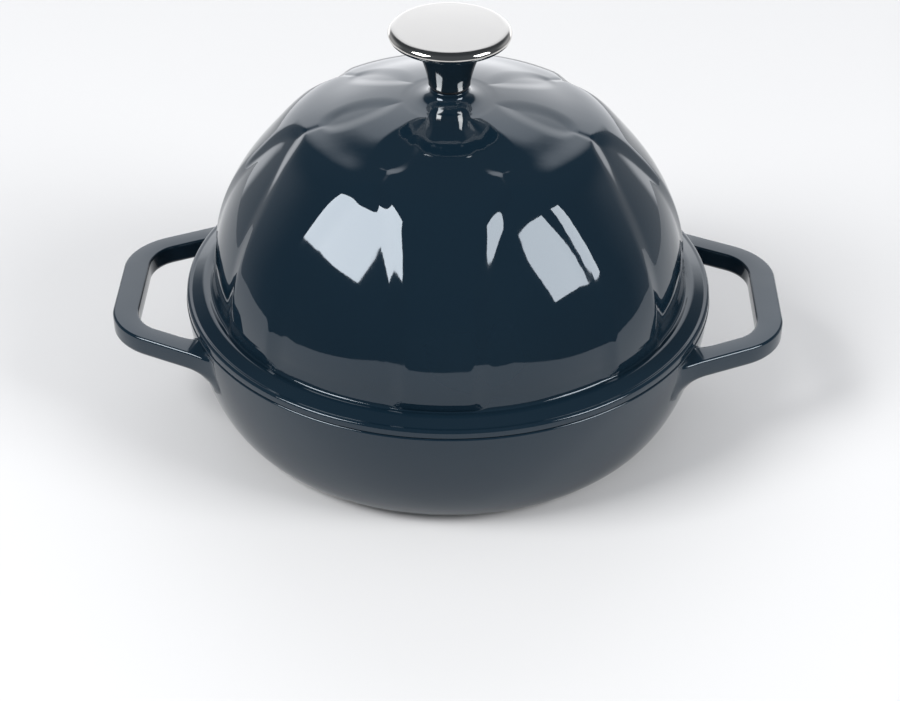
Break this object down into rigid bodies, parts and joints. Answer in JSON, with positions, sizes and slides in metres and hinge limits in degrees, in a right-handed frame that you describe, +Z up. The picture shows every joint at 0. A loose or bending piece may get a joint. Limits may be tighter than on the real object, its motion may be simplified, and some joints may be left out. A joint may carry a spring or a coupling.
{
  "type": "tagine pot",
  "caption": "Round cast-iron cooking pot with loop handles, a tall ribbed dome lid and a turned metal knob.",
  "frame": {"origin": "on the surface the pot stands on, at the middle of the foot", "axes": "+Z up along the pot's axis; +X from the left handle to the right handle"},
  "size_m": [0.333, 0.262, 0.2072],
  "materials": {
    "base_enamel": "gloss enamel",
    "lid_enamel": "gloss enamel",
    "knob_steel": "polished",
    "gasket_silicone": "matte",
    "washer_steel": "plain",
    "spring_steel": "plain",
    "screw_steel": "plain"
  },
  "bodies": {
    "base": {"base_pan": "base_enamel"},
    "lid": {"lid": "lid_enamel", "lid_knob": "knob_steel", "knob_gasket": "gasket_silicone", "flat_washer": "washer_steel", "lock_washer": "spring_steel", "knob_screw": "screw_steel"}
  },
  "joints": [
    {"name": "lid_lift", "type": "slide", "parent": "base", "child": "lid", "axis": [0, 0, 1], "range_m": [0, 0.15]}
  ]
}
